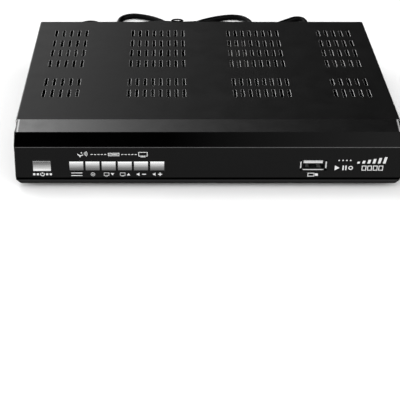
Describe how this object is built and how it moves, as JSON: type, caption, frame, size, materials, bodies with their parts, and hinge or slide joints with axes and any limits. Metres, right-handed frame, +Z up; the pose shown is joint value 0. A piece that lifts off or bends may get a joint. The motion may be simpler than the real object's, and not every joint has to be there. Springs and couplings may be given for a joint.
{
  "type": "satellite receiver",
  "caption": "Low black set-top receiver with a vented folded-steel cover, gloss bevelled front, silver push keys, a front socket and a tied mains lead.",
  "frame": {"origin": "bottom centre of the receiver, without its lead, on the surface it stands on", "axes": "+X to the right seen from the front, +Y from the front to the rear, +Z up"},
  "size_m": [0.2238, 0.2523, 0.035],
  "materials": {
    "black_sheet": "satin black powder paint on folded steel",
    "tray_steel": "zinc-plated sheet, plain",
    "black_screw": "black zinc",
    "foot_rubber": "matte black rubber",
    "black_moulding": "satin black moulded plastic",
    "gloss_lens": "smoked gloss lens, black",
    "switch_plastic": "black switch plastic",
    "circuit_board": "green solder mask",
    "power_laminate": "tan paper laminate",
    "smoked_plastic": "dark infrared-clear epoxy",
    "display_plastic": "dark grey display face",
    "nickel": "nickel plate",
    "white_plastic": "white plastic",
    "tinplate": "dull tinplate",
    "yellow_plastic": "yellow plastic",
    "red_plastic": "red plastic",
    "chip_epoxy": "black epoxy",
    "aluminium": "plain extruded fins",
    "capacitor_sleeve": "dark shrink sleeve",
    "ferrite": "dark grey ferrite",
    "winding_tape": "yellow winding tape",
    "fuse_glass": "clear fuse tube",
    "wire_insulation": "grey wire insulation",
    "lead_sheath": "satin black sheath",
    "tie_wire": "black plastic-covered tie wire",
    "silver_key": "silver paint on plastic"
  },
  "bodies": {
    "root": {"av_jack_block": "black_moulding", "board_capacitors": "capacitor_sleeve", "board_screws": "nickel", "board_standoffs": "nickel", "bulk_capacitor": "capacitor_sleeve", "chassis_tray": "tray_steel", "cord_hank": "lead_sheath", "cover_screws": "black_screw", "f_connector_insulators": "white_plastic", "f_connector_nuts": "nickel", "front_board": "circuit_board", "front_fascia": "black_moulding", "front_panel": "gloss_lens", "hank_tie": "tie_wire", "hdmi_socket_shell": "nickel", "hdmi_socket_tongue": "black_moulding", "heat_sink": "aluminium", "ir_receiver": "smoked_plastic", "led_display": "display_plastic", "left_jack_insert": "white_plastic", "lnb_input": "nickel", "loop_output": "nickel", "main_board": "circuit_board", "main_chip": "chip_epoxy", "mains_fuse": "fuse_glass", "mains_lead": "lead_sheath", "mains_wires": "lead_sheath", "memory_chips": "chip_epoxy", "plug_body": "lead_sheath", "plug_pins": "nickel", "power_board": "power_laminate", "power_harness": "wire_insulation", "rca_shells": "nickel", "ribbon_cable": "wire_insulation", "right_jack_insert": "red_plastic", "rubber_feet": "foot_rubber", "strain_relief": "lead_sheath", "tact_switches": "switch_plastic", "top_cover": "black_sheet", "transformer_core": "ferrite", "transformer_winding": "winding_tape", "tuner_can": "tinplate", "usb_socket_shell": "nickel", "usb_socket_tongue": "white_plastic", "video_jack_insert": "yellow_plastic", "wire_headers": "white_plastic"},
    "standby": {"standby_key": "silver_key", "standby_plunger": "switch_plastic"},
    "menu": {"menu_key": "silver_key", "menu_plunger": "switch_plastic"},
    "select": {"select_key": "silver_key", "select_plunger": "switch_plastic"},
    "channel_down": {"channel_down_key": "silver_key", "channel_down_plunger": "switch_plastic"},
    "channel_up": {"channel_up_key": "silver_key", "channel_up_plunger": "switch_plastic"},
    "volume_down": {"volume_down_key": "silver_key", "volume_down_plunger": "switch_plastic"},
    "volume_up": {"volume_up_key": "silver_key", "volume_up_plunger": "switch_plastic"}
  },
  "joints": [
    {"name": "standby_press", "type": "slide", "parent": "root", "child": "standby", "axis": [0, 1, 0], "range_m": [0, 0.0005], "stiffness_N_per_m": 3000},
    {"name": "menu_press", "type": "slide", "parent": "root", "child": "menu", "axis": [0, 1, 0], "range_m": [0, 0.0005], "stiffness_N_per_m": 3000},
    {"name": "select_press", "type": "slide", "parent": "root", "child": "select", "axis": [0, 1, 0], "range_m": [0, 0.0005], "stiffness_N_per_m": 3000},
    {"name": "channel_down_press", "type": "slide", "parent": "root", "child": "channel_down", "axis": [0, 1, 0], "range_m": [0, 0.0005], "stiffness_N_per_m": 3000},
    {"name": "channel_up_press", "type": "slide", "parent": "root", "child": "channel_up", "axis": [0, 1, 0], "range_m": [0, 0.0005], "stiffness_N_per_m": 3000},
    {"name": "volume_down_press", "type": "slide", "parent": "root", "child": "volume_down", "axis": [0, 1, 0], "range_m": [0, 0.0005], "stiffness_N_per_m": 3000},
    {"name": "volume_up_press", "type": "slide", "parent": "root", "child": "volume_up", "axis": [0, 1, 0], "range_m": [0, 0.0005], "stiffness_N_per_m": 3000}
  ]
}
